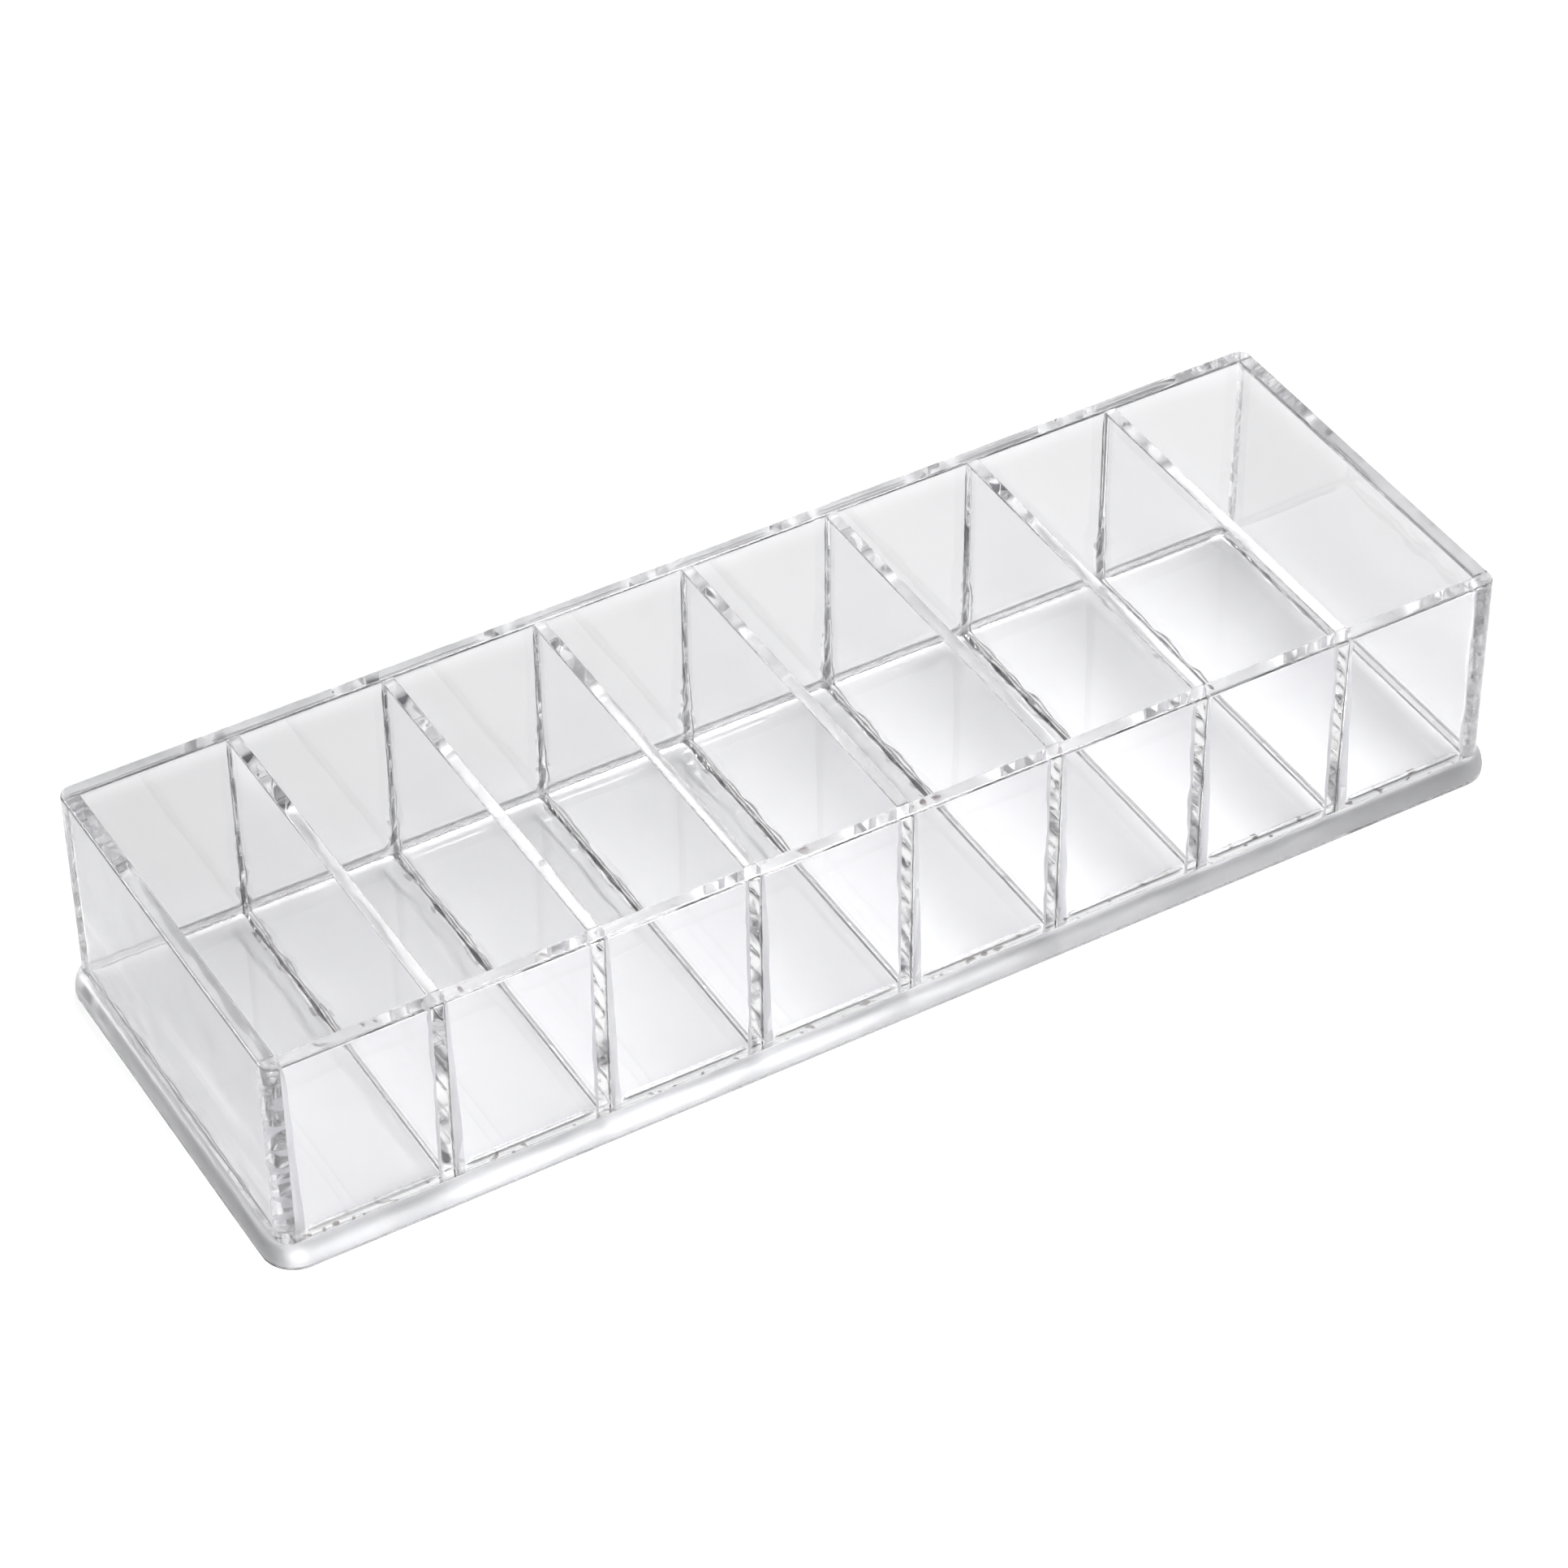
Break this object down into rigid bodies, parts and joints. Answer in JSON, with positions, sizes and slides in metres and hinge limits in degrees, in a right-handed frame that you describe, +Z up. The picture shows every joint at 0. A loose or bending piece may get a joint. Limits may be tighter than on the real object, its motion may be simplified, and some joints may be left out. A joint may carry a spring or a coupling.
{
  "type": "vanity organizer",
  "caption": "Long clear open-topped box on a bullnosed base plate, split by cross dividers into equal upright slots that hold compacts and small palettes on a vanity.",
  "frame": {"origin": "centre of the flat underside of the base plate", "axes": "+X along the row of compartments to the right, -Y towards the front, +Z up"},
  "size_m": [0.24, 0.082, 0.0435],
  "materials": {
    "base_sheet": "clear, polished",
    "wall_sheet": "clear, polished",
    "divider_sheet": "clear, polished"
  },
  "bodies": {
    "root": {"base_plate": "base_sheet", "front_wall": "wall_sheet", "back_wall": "wall_sheet", "left_end_wall": "wall_sheet", "right_end_wall": "wall_sheet", "divider_1": "divider_sheet", "divider_2": "divider_sheet", "divider_3": "divider_sheet", "divider_4": "divider_sheet", "divider_5": "divider_sheet", "divider_6": "divider_sheet", "divider_7": "divider_sheet"}
  },
  "joints": []
}
